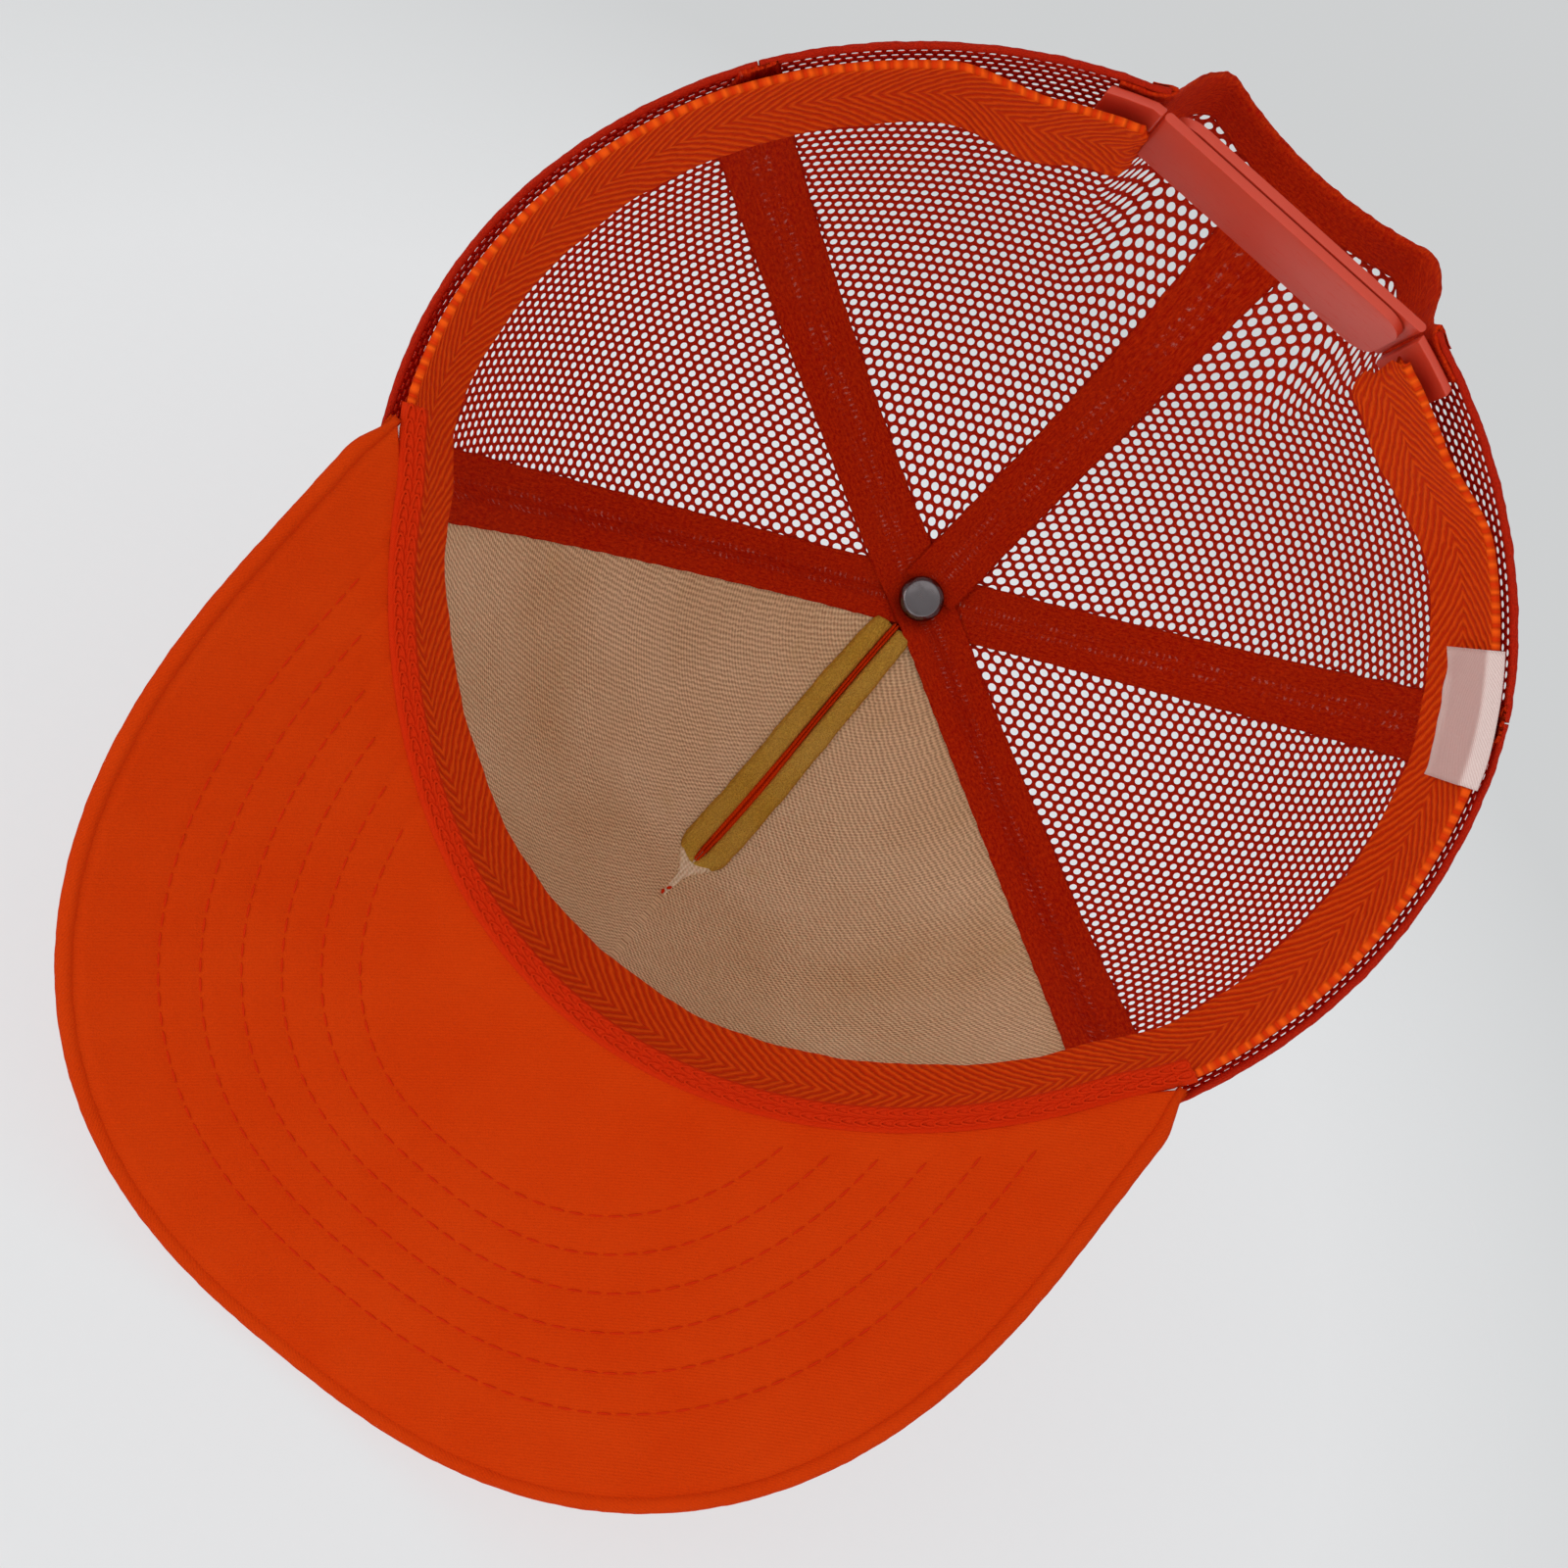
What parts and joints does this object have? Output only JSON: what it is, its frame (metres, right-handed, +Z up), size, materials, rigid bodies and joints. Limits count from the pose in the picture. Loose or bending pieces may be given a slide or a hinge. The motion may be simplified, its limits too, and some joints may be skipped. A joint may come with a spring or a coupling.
{
  "type": "trucker mesh cap",
  "caption": "Soft cap with a foam-backed front panel, see-through mesh gores, arched visor, cloth sweatband, covered top button and a snap strap across a rear opening.",
  "frame": {"origin": "centre of the head opening in the plane of the table: the crown's axis at z = 0, level with the rear rim's bottom edge and the lowest sides of the visor", "axes": "+Z up as worn, -Y towards the front and the visor, +X towards the wearer's left"},
  "size_m": [0.1897, 0.2752, 0.1322],
  "materials": {
    "face_cloth": "matte knitted face cloth",
    "foam": "open-cell foam",
    "lining": "rib-knit backing",
    "mesh": "open knitted netting",
    "seam_tape": "napped tape",
    "twill": "herringbone twill",
    "board": "stiff sheet",
    "visor_cloth": "brushed twill",
    "strap_plastic": "satin moulded plastic",
    "plated_metal": "bright plate",
    "label_cloth": "woven satin tag"
  },
  "bodies": {
    "cap": {"front_face": "face_cloth", "front_foam": "foam", "front_lining": "lining", "dart_foam": "foam", "dart_fold": "face_cloth", "mesh_left_side": "mesh", "mesh_left_rear": "mesh", "mesh_right_rear": "mesh", "mesh_right_side": "mesh", "tape_left_front_to_right": "seam_tape", "tape_right_front_to_left": "seam_tape", "tape_rear": "seam_tape", "arch_binding": "seam_tape", "sweatband": "twill", "sweatband_braid": "twill", "visor_board": "board", "visor_top_cover": "visor_cloth", "visor_under_cover": "visor_cloth", "visor_edge_roll": "visor_cloth", "strap_pegs_tab": "strap_plastic", "strap_holes_tab": "strap_plastic", "button_cover": "visor_cloth", "button_shell": "plated_metal", "button_post": "plated_metal", "rivet_cap": "plated_metal", "label": "label_cloth"},
    "outer_strap": {"strap_holes": "strap_plastic"},
    "inner_strap": {"strap_pegs": "strap_plastic"}
  },
  "joints": [
    {"name": "outer_strap_flex", "type": "hinge", "parent": "cap", "child": "outer_strap", "pos_m": [-0.0316, 0.0856, 0.0112], "axis": [0, 0, 1], "range_deg": [0, 60], "stiffness_Nm_per_rad": 0.004},
    {"name": "inner_strap_flex", "type": "hinge", "parent": "cap", "child": "inner_strap", "pos_m": [0.0216, 0.08365, 0.0112], "axis": [0, 0, 1], "range_deg": [0, 40], "stiffness_Nm_per_rad": 0.004}
  ]
}
